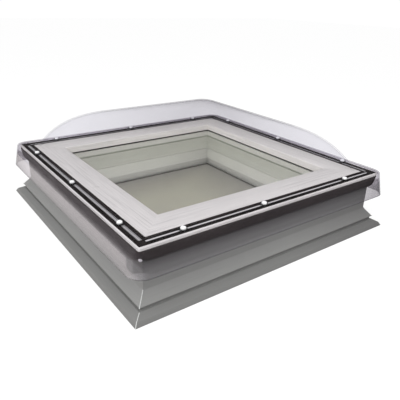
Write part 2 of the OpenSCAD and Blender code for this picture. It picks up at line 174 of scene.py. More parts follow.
def extruded(name, colour, along="X", rough=0.42, streak=0.10, spread=0.035, spec=0.4, inner=None, grain=0.04, shade=None, fade=None):
    """Extruded vinyl: cloudy colour, fine die lines along the run, faint handling marks.
    inner: a second colour for the faces that look into the light well."""
    m = Mat(name)
    s = {"X": (0.6, 60, 60), "Y": (60, 0.6, 60), "Z": (60, 60, 0.6)}[along]
    s2 = tuple(v * (0.42 if v > 1 else 0.9) for v in s)
    coarse = m.noise(9.0, 3.0, 0.6, s2)
    cloud = m.noise(7.0, 4.0, 0.6)
    lines = m.noise(9.0, 4.0, 0.65, s)
    fine = m.noise(900.0, 2.0, 0.5)
    smudge = m.noise(26.0, 5.0, 0.62)
    base = m.ramp(cloud, [(0.25, tint(colour, 1 - spread)), (0.78, tint(colour, 1 + spread))])
    base = m.mix(m.maprange(lines, 0.0, 0.5, 0.3, 0.75), base, tint(colour, 1 - 2.0 * spread))
    base = m.mix(m.maprange(smudge, 0.0, 0.25, 0.52, 0.8), base, tint(colour, 1 + 2.2 * spread))
    base = m.mix(1.0, base, m.ramp(coarse, [(0.30, (1 - grain,) * 3), (0.50, (1.0, 1.0, 1.0)), (0.72, (1 - 0.7 * grain,) * 3)]), "MULTIPLY")
    if inner is not None:
        sep = m.n("ShaderNodeSeparateXYZ")
        m.link(m.obj(), sep.inputs[0])
        far = m.math("MAXIMUM", m.math("ABSOLUTE", sep.outputs["X"]), m.math("ABSOLUTE", sep.outputs["Y"]))
        pale = m.ramp(cloud, [(0.25, tint(inner, 0.98)), (0.78, tint(inner, 1.02))])
        base = m.mix(m.math("LESS_THAN", far, 0.3112), base, pale)
    if shade is not None:
        # painted shade below the lip, broken up by the cloud noise: (top, bottom, colour at the top)
        sep = m.n("ShaderNodeSeparateXYZ")
        m.link(m.obj(), sep.inputs[0])
        far = m.math("MAXIMUM", m.math("ABSOLUTE", sep.outputs["X"]), m.math("ABSOLUTE", sep.outputs["Y"]))
        near = m.math("MULTIPLY", m.maprange(sep.outputs["Z"], 0.0, 1.0, shade[1], shade[0]), m.math("GREATER_THAN", far, 0.36))
        edge = m.math("MULTIPLY", m.math("POWER", near, 1.05), m.maprange(cloud, 0.9, 1.0, 0.3, 0.7))
        base = m.mix(edge, base, m.mix(1.0, base, shade[2], "MULTIPLY"))
        # painted shade on the foot of the curb, below 27.2 mm, in patches
        foot = m.math("MULTIPLY", m.math("LESS_THAN", sep.outputs["Z"], 0.0272), m.maprange(cloud, 0.85, 1.0, 0.3, 0.7))
        base = m.mix(foot, base, m.mix(1.0, base, (0.73, 0.73, 0.73), "MULTIPLY"))
        if fade is not None:
            # painted shade that deepens towards one end of the run: (from, to, colour at the end)
            base = m.mix(m.maprange(sep.outputs["X"], 0.0, 1.0, fade[0], fade[1]), base,
                         m.mix(1.0, base, fade[2], "MULTIPLY"))
    r = m.math("ADD", m.maprange(smudge, rough - 0.07, rough + 0.09, 0.3, 0.75),
               m.maprange(lines, -0.03, 0.03))
    n = m.bump(lines, streak, 0.0004)
    n = m.bump(fine, 0.05, 0.0002, n)
    m.principled(Base_Color=base, Roughness=r, Normal=n, Specular_IOR_Level=spec, Coat_Weight=0.06, Coat_Roughness=0.25)
    return m.m


def rubber(name, colour, rough=0.55, grain=0.25, spec=0.35, spread=0.12):
    """Moulded rubber: fine pitted grain, bloom in patches."""
    m = Mat(name)
    bloom = m.noise(14.0, 5.0, 0.6)
    grit = m.noise(1500.0, 3.0, 0.6)
    wave = m.noise(120.0, 2.0, 0.5)
    base = m.ramp(bloom, [(0.3, tint(colour, 1 - spread)), (0.75, tint(colour, 1 + 1.6 * spread))])
    base = m.mix(m.maprange(grit, 0.0, 0.35, 0.55, 0.8), base, tint(colour, 1.5))
    r = m.maprange(bloom, rough - 0.08, rough + 0.10, 0.3, 0.7)
    n = m.bump(grit, grain, 0.0002)
    n = m.bump(wave, 0.06, 0.0006, n)
    m.principled(Base_Color=base, Roughness=r, Normal=n, Specular_IOR_Level=spec)
    return m.m


def metal(name, colour, rough=0.32, along=None, spangle=0.0):
    """Plated or drawn metal with drawing lines. spangle: not used."""
    m = Mat(name)
    s = {"X": (2, 90, 90), "Y": (90, 2, 90), "Z": (90, 90, 2), None: (1, 1, 1)}[along]
    lines = m.noise(40.0, 4.0, 0.6, s)
    cloud = m.noise(45.0, 4.0, 0.6)
    base = m.ramp(cloud, [(0.3, tint(colour, 0.90)), (0.72, tint(colour, 1.05))])
    r = m.math("ADD", m.maprange(cloud, rough - 0.06, rough + 0.10, 0.3, 0.7), m.maprange(lines, -0.05, 0.05))
    n = m.bump(lines, 0.12, 0.0002)
    m.principled(Base_Color=base, Roughness=r, Normal=n, Metallic=1.0)
    return m.m


def glossy_white(name, colour, rough=0.16, rim=None):
    m = Mat(name)
    cloud = m.noise(180.0, 3.0, 0.5)
    base = m.ramp(cloud, [(0.3, tint(colour, 0.965)), (0.75, tint(colour, 1.03))])
    if rim is not None:
        # painted shade: the base colour darkens to the rim colour as the surface turns edge on
        lw = m.n("ShaderNodeLayerWeight")
        lw.inputs["Blend"].default_value = 0.5
        base = m.mix(m.maprange(lw.outputs["Facing"], 0.0, 1.0, 0.72, 1.0), base, rim)
    r = m.maprange(cloud, rough - 0.04, rough + 0.07, 0.3, 0.7)
    n = m.bump(m.noise(700.0, 2.0, 0.5), 0.05, 0.0002)
    m.principled(Base_Color=base, Roughness=r, Normal=n, Specular_IOR_Level=0.5, Coat_Weight=0.4, Coat_Roughness=0.08)
    return m.m


def clear(name, stops, shine=1.0, f0=0.04, rough=0.03, wave=0.02, wave_scale=9.0, dust=0.0, skirt=None):
    """A clear sheet. It dims what is behind it by a tint that deepens as the sheet is seen edge on
    (stops: how edge on it is, tint), mirrors a little, and can carry a thin film of dust."""
    m = Mat(name)
    lw = m.n("ShaderNodeLayerWeight")
    lw.inputs["Blend"].default_value = 0.5
    cloud = m.noise(11.0, 3.0, 0.5)
    n = m.bump(m.noise(wave_scale, 2.0, 0.5), wave, 0.002)
    col = m.ramp(lw.outputs["Facing"], stops)
    if skirt is not None:
        # below the bend the sheet is hazier and shinier: skirt is (height of the bend, stops, shine)
        sep = m.n("ShaderNodeSeparateXYZ")
        m.link(m.obj(), sep.inputs[0])
        far = m.math("GREATER_THAN", m.math("MAXIMUM", sep.outputs["X"], sep.outputs["Y"]), 0.39)
        rel = m.math("SUBTRACT", sep.outputs["Z"], m.maprange(far, skirt[0] - 0.0155, skirt[0]))
        low = m.maprange(rel, 1.0, 0.0, -0.0015, 0.0)
        out = m.math("MAXIMUM", m.math("ABSOLUTE", sep.outputs["X"]), m.math("ABSOLUTE", sep.outputs["Y"]))
        low = m.math("MULTIPLY", low, m.maprange(out, 0.0, 1.0, 0.3995, 0.4015))
        col = m.mix(low, col, m.ramp(lw.outputs["Facing"], skirt[1]))
        ends = m.math("ABSOLUTE", m.math("SUBTRACT", sep.outputs["X"], sep.outputs["Y"]))
        ends = m.math("MULTIPLY", low, m.maprange(ends, 0.0, 1.0, 0.70, 0.80))
        col = m.mix(ends, col, m.mix(1.0, col, (0.89, 0.885, 0.89), "MULTIPLY"))
        sawn = m.maprange(sep.outputs["Z"], 1.0, 0.0, skirt[3], skirt[3] + 0.0006)
        col = m.mix(sawn, col, (0.62, 0.61, 0.63))
        away = m.maprange(m.math("ADD", sep.outputs["X"], sep.outputs["Y"]), 0.0, 1.0, 0.10, 0.55)
        col = m.mix(away, col, (0.905, 0.901, 0.903), "MULTIPLY")
    col = m.mix(m.maprange(cloud, 0.0, 0.6, 0.35, 0.75), col, (0.992, 0.992, 0.993), "MULTIPLY")
    tr = m.n("ShaderNodeBsdfTransparent")
    m.link(col, tr.inputs["Color"])
    schlick = m.maprange(m.math("POWER", lw.outputs["Facing"], 5.0), f0, 1.0)
    if skirt is not None:
        shiny = m.math("MULTIPLY", low, m.maprange(sep.outputs["Z"], 1.0, 0.10, 0.1440, 0.1475))
    mirror = m.math("MULTIPLY", schlick, shine)
    if skirt is not None:
        mirror = m.math("ADD", mirror, m.math("MULTIPLY", shiny, m.maprange(m.math("POWER", lw.outputs["Facing"], 5.0), 0.195, skirt[2])))
    gl = m.n("ShaderNodeBsdfGlossy")
    m.link(m.maprange(cloud, rough, rough + 0.03, 0.35, 0.7), gl.inputs["Roughness"])
    m.link(n, gl.inputs["Normal"])
    mx = m.n("ShaderNodeMixShader")
    m.link(mirror, mx.inputs[0])
    m.link(tr.outputs[0], mx.inputs[1])
    m.link(gl.outputs[0], mx.inputs[2])
    top = mx.outputs[0]
    if dust > 0:
        df = m.n("ShaderNodeBsdfDiffuse")
        df.inputs["Color"].default_value = (0.80, 0.79, 0.82, 1)
        mx2 = m.n("ShaderNodeMixShader")
        speck = m.noise(420.0, 4.0, 0.6)
        m.link(m.math("MULTIPLY", m.maprange(speck, 0.3, 1.0, 0.35, 0.7), dust), mx2.inputs[0])
        m.link(top, mx2.inputs[1])
        m.link(df.outputs[0], mx2.inputs[2])
        top = mx2.outputs[0]
    m.link(top, m.out.inputs["Surface"])
    return m.m


GREY = (0.274, 0.274, 0.267)
WHITE = (0.850, 0.826, 0.785)
INNER = (0.86, 0.852, 0.84)
# shade and fade paint shade on the outer faces: below the lip, and deepening towards the +X end of the front and back
# runs
curb_x = extruded("curb_vinyl_x", GREY, "X", inner=INNER, shade=(0.121, 0.096, (0.32, 0.285, 0.30)), fade=(0.05, 0.42, (0.74, 0.73, 0.74)))
curb_y = extruded("curb_vinyl_y", GREY, "Y", inner=INNER, shade=(0.111, 0.100, (0.24, 0.20, 0.19)))
sash_x = extruded("sash_vinyl_x", WHITE, "X", rough=0.34, streak=0.07, spread=0.025, spec=0.5, grain=0.26)
sash_y = extruded("sash_vinyl_y", WHITE, "Y", rough=0.34, streak=0.07, spread=0.025, spec=0.5, grain=0.26)
bead_x = extruded("bead_vinyl_x", (0.76, 0.755, 0.735), "X", rough=0.36, streak=0.07, spread=0.02)
bead_y = extruded("bead_vinyl_y", (0.76, 0.755, 0.735), "Y", rough=0.36, streak=0.07, spread=0.02)
lip_m = rubber("lip_rubber", (0.048, 0.039, 0.038), 0.42, 0.22, 0.4)
gasket_m = rubber("gasket_rubber", (0.026, 0.021, 0.020), 0.6, 0.22, 0.12)
seal_m = rubber("seal_rubber", (0.018, 0.017, 0.017), 0.6, 0.3, 0.3)
butyl_m = rubber("butyl", (0.020, 0.020, 0.021), 0.5, 0.3, 0.3)
block_m = rubber("packer_plastic", (0.05, 0.06, 0.08), 0.45, 0.1, 0.4)
spacer_m = glossy_white("spacer_bar", (0.74, 0.725, 0.70), 0.35)
seal_grey_m = rubber("seal_grey", (0.34, 0.34, 0.32), 0.55, 0.2, 0.3)
# the pale strip below the spacer bar: the pane's edge tone and a painted reflection
edge_and_reflection_m = glossy_white("glass_edge_and_reflection", (0.52, 0.54, 0.49), 0.3)
zinc_m = metal("zinc_plate", (0.60, 0.61, 0.63), 0.34)
screw_m = metal("stainless", (0.68, 0.69, 0.70), 0.25)
# the caps' darker rim is painted shade
cap_m = glossy_white("cap_plastic", (0.93, 0.93, 0.94), rim=(0.30, 0.29, 0.30))
handle_m = glossy_white("handle_paint", (0.78, 0.78, 0.77), 0.28)
weld_m = extruded("weld_vinyl", (0.62, 0.63, 0.62), "Z", rough=0.4, streak=0.2, spread=0.08)



def striped(name, along, stripes, rough=0.35):
    """A co-extruded strip: stripes across it (distance from the middle of the frame in metres, grey), faint streaks
    along it. Some stripes can be painted highlights.
    """
    m = Mat(name)
    s = {"X": (0.8, 90, 90), "Y": (90, 0.8, 90)}[along]
    lines = m.noise(14.0, 3.0, 0.6, s)
    cloud = m.noise(30.0, 4.0, 0.6)
    sep = m.n("ShaderNodeSeparateXYZ")
    m.link(m.obj(), sep.inputs[0])
    across = m.math("ABSOLUTE", sep.outputs["Y" if along == "X" else "X"])
    lo, hi = stripes[0][0], stripes[-1][0]
    base = m.ramp(m.maprange(across, 0.0, 1.0, lo, hi), [((d - lo) / (hi - lo), (g, g * 0.985, g * 0.97)) for d, g in stripes])
    base = m.mix(m.maprange(lines, 0.0, 0.55, 0.35, 0.7), base, m.mix(1.0, base, (0.55, 0.54, 0.53), "MULTIPLY"))
    base = m.mix(m.maprange(cloud, 0.0, 0.3, 0.4, 0.8), base, m.mix(1.0, base, (0.85, 0.85, 0.86), "MULTIPLY"))
    n = m.bump(lines, 0.2, 0.0003)
    m.principled(Base_Color=base, Roughness=m.maprange(cloud, rough - 0.06, rough + 0.1, 0.3, 0.7), Normal=n, Specular_IOR_Level=0.4)
    return m.m


tape_x = striped("tape_stripes_x", "X", [(0.3760, 0.03), (0.3783, 0.04), (0.3790, 0.80), (0.3826, 0.80), (0.3834, 0.04), (0.3871, 0.03)])
# the left and right runs: a greyer band whose pale stripes are painted highlight streaks
tape_y_and_highlights = striped("tape_stripes_and_highlights_y", "Y", [(0.3760, 0.05), (0.3772, 0.16), (0.3788, 0.42), (0.3802, 0.22), (0.3818, 0.62), (0.3840, 0.55),
                                         (0.3856, 0.16), (0.3871, 0.05)])
washer_m = metal("washer_steel", (0.70, 0.70, 0.71), 0.22)
dome_m = clear("dome_clear", [(0.0, (0.949, 0.946, 0.960)), (0.80, (0.944, 0.941, 0.955)), (0.89, (0.915, 0.912, 0.925)),
                              (0.945, (0.80, 0.797, 0.81)), (1.0, (0.28, 0.28, 0.29))],
               shine=0.10, f0=0.035, rough=0.03, wave=0.02, wave_scale=5.0, dust=0.002,
               skirt=(0.1775, [(0.0, (0.900, 0.886, 0.905)), (0.45, (0.890, 0.875, 0.895)), (0.70, (0.81, 0.797, 0.82)),
                               (0.90, (0.70, 0.69, 0.71)), (1.0, (0.34, 0.34, 0.36))], 0.50, 0.1068))
pane_m = clear("pane_clear", [(0.0, (0.994, 0.995, 0.992)), (0.55, (0.990, 0.991, 0.985)), (1.0, (0.80, 0.82, 0.76))],
               shine=0.12, f0=0.035, rough=0.0, wave=0.002)


def paint(node, mat):
    o = nodes[node]
    if not o.material_slots:
        o.data.materials.append(mat)
    for s in o.material_slots:
        s.material = mat


for side, cm, sm, bm in (("front", curb_x, sash_x, bead_x), ("back", curb_x, sash_x, bead_x),
                         ("left", curb_y, sash_y, bead_y), ("right", curb_y, sash_y, bead_y)):
    paint("curb_" + side, cm)
    paint("sash_" + side, sm)
    paint("bead_" + side, bm)
for n, m in {"curb_top_seal": seal_m, "curb_inner_seal": seal_m, "hinge_leaves_fixed": zinc_m,
             "hinge_pins": screw_m, "hinge_screws_fixed": screw_m, "stay_posts": zinc_m,
             "lock_keeper": zinc_m, "keeper_screws": screw_m, "weather_lip": lip_m, "lip_rivets": cap_m,
             "dome_gasket": gasket_m, "dome_shell": dome_m, "dome_screws": screw_m, "seal_washers": seal_m,
             "screw_caps": cap_m, "gasket_tape": tape_x, "steel_washers": washer_m, "outer_pane": pane_m, "inner_pane": pane_m, "pane_spacer": spacer_m,
             "pane_edge_seal": butyl_m, "glazing_gasket_outer": gasket_m, "glazing_gasket_inner": seal_grey_m,
             "setting_blocks": block_m, "hinge_leaves_moving": zinc_m, "hinge_screws_moving": screw_m,
             "stay_track_left": zinc_m, "stay_track_right": zinc_m, "handle_base": handle_m,
             "handle_lever": handle_m, "lock_spindle": zinc_m, "stay_arm_left": zinc_m,
             "stay_arm_right": zinc_m, "stay_pin_left": screw_m, "stay_pin_right": screw_m}.items():
    paint(n, m)

# ------------------------------------------------------------------ mesh helpers


def finish_mesh(name, bm, mat, body, sharp=33.0):
    """Writes a bmesh out as one object that rides on a body."""
    bmesh.ops.recalc_face_normals(bm, faces=bm.faces[:])
    for f in bm.faces:
        f.smooth = True
    for e in bm.edges:
        if len(e.link_faces) == 2:
            e.smooth = math.degrees(e.calc_face_angle(0.0)) < sharp
    me = bpy.data.meshes.new(name)
    bm.to_mesh(me)
    bm.free()
    me.materials.append(mat)
    o = bpy.data.objects.new(name, me)
    scene.collection.objects.link(o)
    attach(o, body)
    return o


def fillet(points, segs=4):
    """A closed outline from (x, z, radius) corners, each rounded by its radius. Millimetres."""
    out = []
    n = len(points)
    for i, (x, z, r) in enumerate(points):
        p = Vector((x, z))
        if r <= 0:
            out.append((x, z))
            continue
        a = Vector(points[i - 1][:2]) - p
        b = Vector(points[(i + 1) % n][:2]) - p
        la, lb = a.length, b.length
        a.normalize(); b.normalize()
        half = math.acos(max(-1, min(1, a.dot(b)))) / 2
        d = min(r / math.tan(half), 0.45 * la, 0.45 * lb)
        rr = d * math.tan(half)
        c = p + (a + b).normalized() * (rr / math.sin(half))
        s, e = p + a * d, p + b * d
        va, vb = s - c, e - c
        ang = math.atan2(va.x * vb.y - va.y * vb.x, va.dot(vb))
        for k in range(segs + 1):
            t = ang * k / segs
            out.append((c.x + va.x * math.cos(t) - va.y * math.sin(t), c.y + va.x * math.sin(t) + va.y * math.cos(t)))
    return out


TURN = {"right": 0, "back": 90, "left": 180, "front": 270}


def member(name, side, outline, mat, body):
    """One mitred run of an outline, with closed ends."""
    bm = bmesh.new()
    rot = Matrix.Rotation(math.radians(TURN[side]), 4, "Z")
    rows = []
    for s in (-1, 1):
        rows.append([bm.verts.new(rot @ Vector((x * MM, s * x * MM, z * MM))) for x, z in outline])
    n = len(outline)
    for i in range(n):
        j = (i + 1) % n
        bm.faces.new((rows[0][i], rows[0][j], rows[1][j], rows[1][i]))
    bm.faces.new(rows[0][::-1])
    bm.faces.new(rows[1])
    return finish_mesh(name, bm, mat, body)


def rring(h, r, z, nc=10, ns=6):
    """Points of a rounded square."""
    pts = []
    for q in range(4):
        cx = (h - r) * (1 if q in (0, 3) else -1)
        cy = (h - r) * (1 if q < 2 else -1)
        for k in range(nc + 1):
            a = math.radians(90 * q + 90 * k / nc)
            pts.append((cx + r * math.cos(a), cy + r * math.sin(a), z))
        # straight run to the next corner
        nx = (h - r) * (1 if (q + 1) % 4 in (0, 3) else -1)
        ny = (h - r) * (1 if (q + 1) % 4 < 2 else -1)
        a = math.radians(90 * (q + 1))
        p0 = Vector(pts[-1])
        p1 = Vector((nx + r * math.cos(a), ny + r * math.sin(a), z))
        for k in range(1, ns):
            pts.append(tuple(p0.lerp(p1, k / ns)))
    return pts


def lathe(name, stations, mat, body, closed=True, caps=(None, None), nc=10, ns=6, sharp=40.0, lift=None):
    """A skin through rounded squares (half, corner radius, height). closed joins the last to the first."""
    bm = bmesh.new()
    rows = []
    for st in stations:
        ring = rring(st[0], st[1], st[2], nc, ns)
        if lift is not None:
            ring = [lift(p) for p in ring]
        rows.append([bm.verts.new(Vector(p) * MM) for p in ring])
    n = len(rows[0])
    pairs = list(zip(rows, rows[1:]))
    if closed:
        pairs.append((rows[-1], rows[0]))
    for a, b in pairs:
        for i in range(n):
            j = (i + 1) % n
            bm.faces.new((a[i], a[j], b[j], b[i]))
    for row, z in ((rows[0], caps[0]), (rows[-1], caps[1])):
        if z is not None:
            c = bm.verts.new((0, 0, z * MM))
            for i in range(n):
                bm.faces.new((row[i], row[(i + 1) % n], c))
    return finish_mesh(name, bm, mat, body, sharp)


# ------------------------------------------------------------------ curb

W, WI = B - 44.5, B - 84.5
curb_line = fillet([
    (B, 0, 0.8), (B - 6.6, 10.8, 1.6), (B - 22.7, 19.3, 1.0), (B - 27.5, 19.3, 0.8), (B - 27.5, 27.6, 0.8),
    (B - 22.2, 28.5, 1.2), (W, 54.8, 5.0), (W, 140, 1.5), (WI, 140, 1.5), (WI, 66, 1.0),
    (B - 124, 66, 0.6), (B - 124, 71.4, 0.8), (B - 134.4, 71.4, 1.2), (B - 121, 0, 1.0)])
for side in TURN:
    o = member("curb_profile_" + side, side, curb_line, curb_x if side in ("front", "back") else curb_y, "curb")
    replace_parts(o, "curb_" + side)


def bead_run(name, points, radius, mat, body, flat=0.6):
    """A thin weld bead that follows points, mm. A tube with closed ends."""
    bm = bmesh.new()
    seg = 8
    rows = []
    for i, p in enumerate(points):
        p = Vector(p)
        d = (Vector(points[min(i + 1, len(points) - 1)]) - Vector(points[max(i - 1, 0)])).normalized()
        side = Vector((-p.y, p.x, 0)).normalized()
        up = d.cross(side).normalized()
        rr = radius * (0.86 + 0.14 * math.sin(i * 2.1))
        rows.append([bm.verts.new((p + side * rr * math.cos(a) + up * rr * flat * math.sin(a)) * MM)
                     for a in (2 * math.pi * k / seg for k in range(seg))])
    for a, b in zip(rows, rows[1:]):
        for i in range(seg):
            j = (i + 1) % seg
            bm.faces.new((a[i], a[j], b[j], b[i]))
    bm.faces.new(rows[0][::-1]); bm.faces.new(rows[-1])
    return finish_mesh(name, bm, mat, body, 60)


def spaced(points, step):
    out = []
    for a, b in zip(points, points[1:]):
        a, b = Vector(a), Vector(b)
        n = max(1, int((b - a).length / step))
        out += [a.lerp(b, k / n) for k in range(n)]
    out.append(Vector(points[-1]))
    return out


for name, sx, sy in (("front_left", -1, -1), ("front_right", 1, -1), ("back_left", -1, 1), ("back_right", 1, 1)):
    low = [(B - 1.0, 1.0), (B - 7.0, 10.8), (B - 22.9, 19.1)]
    high = [(B - 22.6, 28.6), (W + 2.6, 51.8), (W + 0.4, 56.5)]
    for tag, run in (("low", low), ("high", high)):
        pts = spaced([(sx * x, sy * x, z) for x, z in run], 2.0)
        bead_run(f"weld_{tag}_{name}", pts, 1.0, weld_m, "curb")

# ------------------------------------------------------------------ sash

FLANGE, UNDER = 174.0, 171.0


def member_round(name, side, outline, h, r, mat, body, steps=5):
    """As member(), with the outer corner of the frame (half-width h) rounded to radius r."""
    bm = bmesh.new()
    rot = Matrix.Rotation(math.radians(TURN[side]), 4, "Z")
    c = h - r
    cols = []
    for end in (-1, 1):
        run = []
        for k in range(steps + 1):
            a = math.radians(45.0 * k / steps)
            col = []
            for x, z in outline:
                if x > c:
                    px, py = c + (x - c) * math.cos(a), c + (x - c) * math.sin(a)
                else:
                    px, py = x, x - 6.0 * (1 - k / steps)
                col.append(rot @ Vector((px * MM, end * py * MM, z * MM)))
            run.append(col)
        cols += run[::-1] if end < 0 else run
    rows = [[bm.verts.new(v) for v in col] for col in cols]
    n = len(outline)
    for ra, rb in zip(rows, rows[1:]):
        for i in range(n):
            j = (i + 1) % n
            bm.faces.new((ra[i], ra[j], rb[j], rb[i]))
    bm.faces.new(rows[0][::-1])
    bm.faces.new(rows[-1])
    return finish_mesh(name, bm, mat, body)


PH = B - 126.0
SO, SI, LI, LO = B - 31.3, B - 139.6, B - 121.0, B - 105.0
G0, G1, T0, T1 = B - 63.3, B - 31.6, B - 54.0, B - 43.0
sash_line = fillet([
    (SI, 150, 0.6), (SI, 170.8, 1.6), (G0, 170.8, 0.5), (G0, 166, 0.0), (G1, 166, 0.0), (G1, 170.8, 0.25),
    (SO + 0.3, 170.8, 0.5), (SO + 2.3, 167.6, 0.8), (SO + 2.5, 161.6, 0.6), (B - 40, 161.6, 0.5), (B - 40, 150, 1.2), (LO, 150, 0.8),
    (LO, 72.3, 1.2), (LI, 72.3, 0.6), (LI, 150, 0.0)])
for side in TURN:
    o = member_round("sash_profile_" + side, side, sash_line, B - 28.8, 5.0, sash_x if side in ("front", "back") else sash_y,
                     "sash")
    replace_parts(o, "sash_" + side)

# the foam tape in the gasket's groove: a low strip with three fine ridges, cut round each screw
TAPE_END = B - 55.0
SK, SR = 0.66 * B, B - 44.0
ROWS = {side: (-SK, 0.0, SK) for side in TURN}
ROWS["front"] = (-SK, -0.105 * B, SK - 0.045 * B)
ROWS["left"] = (-SK + 0.028 * B, 0.032 * B, SK + 0.011 * B)
tape_top = fillet([(T0 + 0.05, 168, 0.0), (T1 - 0.05, 168, 0.0), (T1 - 0.05, 169.3, 0.3), (T1 - 1.6, 169.3, 0.2),
                   (T1 - 2.0, 169.7, 0.3), (T1 - 3.4, 169.7, 0.3), (T1 - 3.8, 169.3, 0.2), (T1 - 5.0, 169.3, 0.2),
                   (T1 - 5.4, 169.7, 0.3), (T1 - 6.8, 169.7, 0.3), (T1 - 7.2, 169.3, 0.2), (T1 - 8.2, 169.3, 0.2),
                   (T1 - 8.6, 169.65, 0.3), (T1 - 9.6, 169.65, 0.3), (T1 - 10.0, 169.3, 0.2), (T0 + 0.05, 169.3, 0.2)], 2)
for run, mat in ((("front", "back"), tape_x), (("left", "right"), tape_y_and_highlights)):
    bm = bmesh.new()
    for side in run:
        rot = Matrix.Rotation(math.radians(TURN[side]), 4, "Z")
        stops = [-TAPE_END] + [v for s in ROWS[side] for v in (s - 2.7, s + 2.7)] + [TAPE_END]
        for y0, y1 in zip(stops[::2], stops[1::2]):
            rows = [[bm.verts.new(rot @ Vector((x * MM, y * MM, z * MM))) for x, z in tape_top] for y in (y0, y1)]
            n = len(tape_top)
            for i in range(n):
                j = (i + 1) % n
                bm.faces.new((rows[0][i], rows[0][j], rows[1][j], rows[1][i]))
            bm.faces.new(rows[0][::-1])
            bm.faces.new(rows[1])
    o = finish_mesh("gasket_tape_" + "_".join(run), bm, mat, "sash")
    if mat is tape_x:
        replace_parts(o, "gasket_tape")

SPOTS = [(TURN[side], SR, s) for side in TURN for s in ROWS[side]]


# the lower pane's edge, as it shows through the glass below the spacer bar; its pale tone is a painted reflection of
# the spacer over a gap in shade
for side in TURN:
    o = member("glass_edge_and_reflection_" + side, side, [(PH - 12.4, 124.6), (PH - 12.4, 128.3), (PH - 11.8, 128.3), (PH - 11.8, 124.6)],
               edge_and_reflection_m, "sash")


def turned(name, profile, mat, seg=32, sharp=40.0):
    """The same turned shape at every dome screw. profile: (radius, height above the flange), mm, closed on the axis side."""
    bm = bmesh.new()
    for deg, x, y in SPOTS:
        rot = Matrix.Rotation(math.radians(deg), 4, "Z")
        rows = []
        for r, z in profile:
            if r < 1e-6:
                rows.append([bm.verts.new(rot @ Vector((x * MM, y * MM, (FLANGE + z) * MM)))])
            else:
                rows.append([bm.verts.new(rot @ Vector(((x + r * math.cos(a)) * MM, (y + r * math.sin(a)) * MM, (FLANGE + z) * MM)))
                             for a in (2 * math.pi * k / seg for k in range(seg))])
        for ra, rb in zip(rows, rows[1:] + ([rows[0]] if len(rows[0]) > 1 and len(rows[-1]) > 1 else [])):
            if len(ra) == 1 and len(rb) == 1:
                continue
            for i in range(seg):
                j = (i + 1) % seg
                if len(ra) == 1:
                    bm.faces.new((ra[0], rb[i], rb[j]))
                elif len(rb) == 1:
                    bm.faces.new((ra[i], ra[j], rb[0]))
                else:
                    bm.faces.new((ra[i], ra[j], rb[j], rb[i]))
    return finish_mesh(name, bm, mat, "sash", sharp)


# ------------------------------------------------------------------ lip

lip = lathe("weather_lip_moulded", [
    (B - 39.6, 0.4, 161.3), (B - 27.6, 12, 161.3), (B - 27.0, 13, 160.2), (B - 27.0, 15, 156), (B - 27.0, 18, 150),
    (B - 27.0, 22, 144), (B - 27.2, 26, 139), (B - 28.2, 29, 135), (B - 30.6, 31, 132.2), (B - 33.5, 31, 131.2),
    (B - 37.5, 28, 131.0), (B - 38.8, 14, 132.0), (B - 39.6, 2.0, 135.0)],
    lip_m, "sash", nc=16, ns=4, sharp=50)

# ------------------------------------------------------------------ dome

T, H, FOOT = 3.0, 135.0, B - 62.0


def dome_z(t):
    return H * (1 - t ** 4) ** 0.83


ts = [0.03, 0.08, 0.14, 0.2, 0.26, 0.32, 0.38, 0.44, 0.5, 0.55, 0.6, 0.65, 0.69, 0.73, 0.77, 0.8, 0.83, 0.86, 0.885, 0.91, 0.93,
      0.95, 0.965, 0.978, 0.988]
outer = [(FOOT * t, 0.16 * FOOT * t + 0.5, FLANGE + dome_z(t)) for t in ts]
FO, SKO = B - 14.0, B - 3.5   # the sheet's bend, and the skirt's lower edge
outer += [(FOOT - 1.4, 0.16 * FOOT, FLANGE + 4.2), (FOOT + 0.4, 0.16 * FOOT, FLANGE + 2.0), (FOOT + 2.2, 0.158 * FOOT, FLANGE + 0.7),
          (FOOT + 5, 0.155 * FOOT, FLANGE), (FO - 18, 42, FLANGE), (FO - 3.6, 34.4, FLANGE), (FO - 2.5, 35.5, FLANGE - 0.2),
          (FO - 1.4, 36.6, FLANGE - 0.8), (FO - 0.5, 37.5, FLANGE - 1.9), (FO - 0.05, 37.9, FLANGE - 3.4), (FO + 2.0, 38.5, FLANGE - 17),
          (FO + 6.5, 40, FLANGE - 44), (SKO, 41, FLANGE - 67.3), (SKO - 0.4, 40.8, FLANGE - 68.0)]
inner = [(SKO - 2.5, 39, FLANGE - 68.0), (SKO - 3.0, 38.5, FLANGE - 67.3), (FO + 3.5, 37.5, FLANGE - 44), (FO - 1.0, 36, FLANGE - 17),
         (FO - 3.0, 35, UNDER - 2.6), (FO - 3.5, 34.4, UNDER - 0.8), (FO - 4.6, 33.4, UNDER), (FO - 18, 41, UNDER),
         (FOOT + 2.5, 0.155 * FOOT, UNDER), (FOOT - 1.6, 0.158 * FOOT, UNDER + 1.2), (FOOT - 4.0, 0.158 * FOOT, UNDER + 4.4)]
inner += [((FOOT - 2.4) * t, 0.16 * (FOOT - 2.4) * t + 0.5, UNDER + dome_z(t)) for t in reversed(ts)]
dome = lathe("dome_sheet", outer + inner, dome_m, "sash", closed=False,
             caps=(FLANGE + H, UNDER + H), nc=20, ns=16, sharp=70)
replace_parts(dome, "dome_shell")
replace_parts(lip, "weather_lip")
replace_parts(turned("seal_washer_rings", [(2.6, 0.0), (9.8, 0.0), (10.0, 0.2), (9.95, 0.6), (9.6, 0.93), (9.2, 1.0), (2.6, 1.0)],
                   seal_m), "seal_washers")
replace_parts(turned("steel_washer_rings", [(2.6, 1.0), (7.3, 1.0), (7.4, 1.15), (7.3, 1.4), (7.0, 1.65), (6.6, 1.7), (2.6, 1.7)],
                   washer_m), "steel_washers")
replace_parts(turned("screw_cap_domes", [(6.55, 1.7), (6.75, 1.9), (6.75, 3.1), (6.68, 3.7), (6.45, 4.3), (6.05, 4.9),
                                       (5.4, 5.5), (4.6, 6.0), (3.6, 6.37), (2.5, 6.58), (1.2, 6.68), (0.0, 6.7)],
                   cap_m, sharp=60.0), "screw_caps")

# ------------------------------------------------------------------ floor, light, camera

